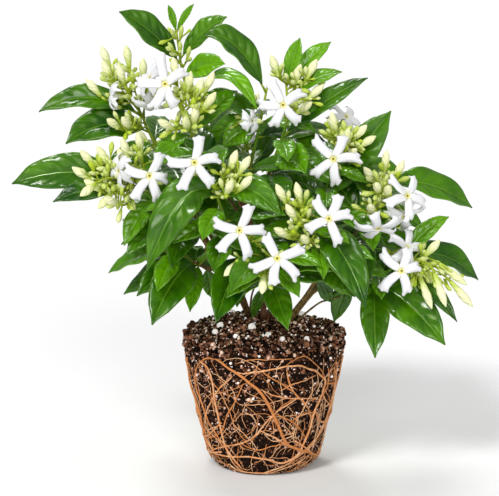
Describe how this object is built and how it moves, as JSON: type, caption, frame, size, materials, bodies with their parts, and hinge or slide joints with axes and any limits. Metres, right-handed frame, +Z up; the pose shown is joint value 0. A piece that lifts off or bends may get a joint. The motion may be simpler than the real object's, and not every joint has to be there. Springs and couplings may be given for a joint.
{
  "type": "potted star jasmine",
  "caption": "Flowering star jasmine lifted out of its pot: glossy opposite leaves, white pinwheel blooms and cream buds on woody stems, standing on a pot-shaped root ball.",
  "frame": {"origin": "centre of the root ball's foot, on the surface that it stands on", "axes": "+Z up along the root ball's axis, -Y towards the viewer of the reference picture, +X to that viewer's right"},
  "size_m": [0.2524, 0.1931, 0.2558],
  "materials": {
    "soil": "matte",
    "root": "matte",
    "bark": "matte",
    "leaf": "satin",
    "petal": "matte"
  },
  "bodies": {
    "root": {"bloom_back_centre_1": "petal", "bloom_back_centre_2": "petal", "bloom_back_left_1": "petal", "bloom_back_left_2": "petal", "bloom_back_low_left_1": "petal", "bloom_back_low_right_1": "petal", "bloom_back_mid_1": "petal", "bloom_back_mid_2": "petal", "bloom_back_right_1": "petal", "bloom_back_right_2": "petal", "bloom_centre_top_1": "petal", "bloom_front_centre_1": "petal", "bloom_front_centre_2": "petal", "bloom_front_left_1": "petal", "bloom_front_right_1": "petal", "bloom_left_mid_1": "petal", "bloom_left_mid_2": "petal", "bloom_left_up_1": "petal", "bloom_left_up_2": "petal", "bloom_right_low_1": "petal", "bloom_right_low_2": "petal", "bloom_right_mid_1": "petal", "bloom_right_mid_2": "petal", "bloom_right_mid_3": "petal", "bloom_right_up_1": "petal", "bloom_right_up_2": "petal", "bloom_top_left_1": "petal", "bloom_top_left_2": "petal", "bloom_top_right_1": "petal", "potting_soil": "soil", "root_net": "root", "shoot_back_centre": "leaf", "shoot_back_left": "leaf", "shoot_back_low_left": "leaf", "shoot_back_low_right": "leaf", "shoot_back_mid": "leaf", "shoot_back_right": "leaf", "shoot_centre_top": "leaf", "shoot_front_centre": "leaf", "shoot_front_left": "leaf", "shoot_front_right": "leaf", "shoot_left_low": "leaf", "shoot_left_mid": "leaf", "shoot_left_up": "leaf", "shoot_right_low": "leaf", "shoot_right_mid": "leaf", "shoot_right_up": "leaf", "shoot_top": "leaf", "shoot_top_left": "leaf", "shoot_top_right": "leaf", "woody_stem_centre": "bark", "woody_stem_left": "bark", "woody_stem_right": "bark"}
  },
  "joints": []
}
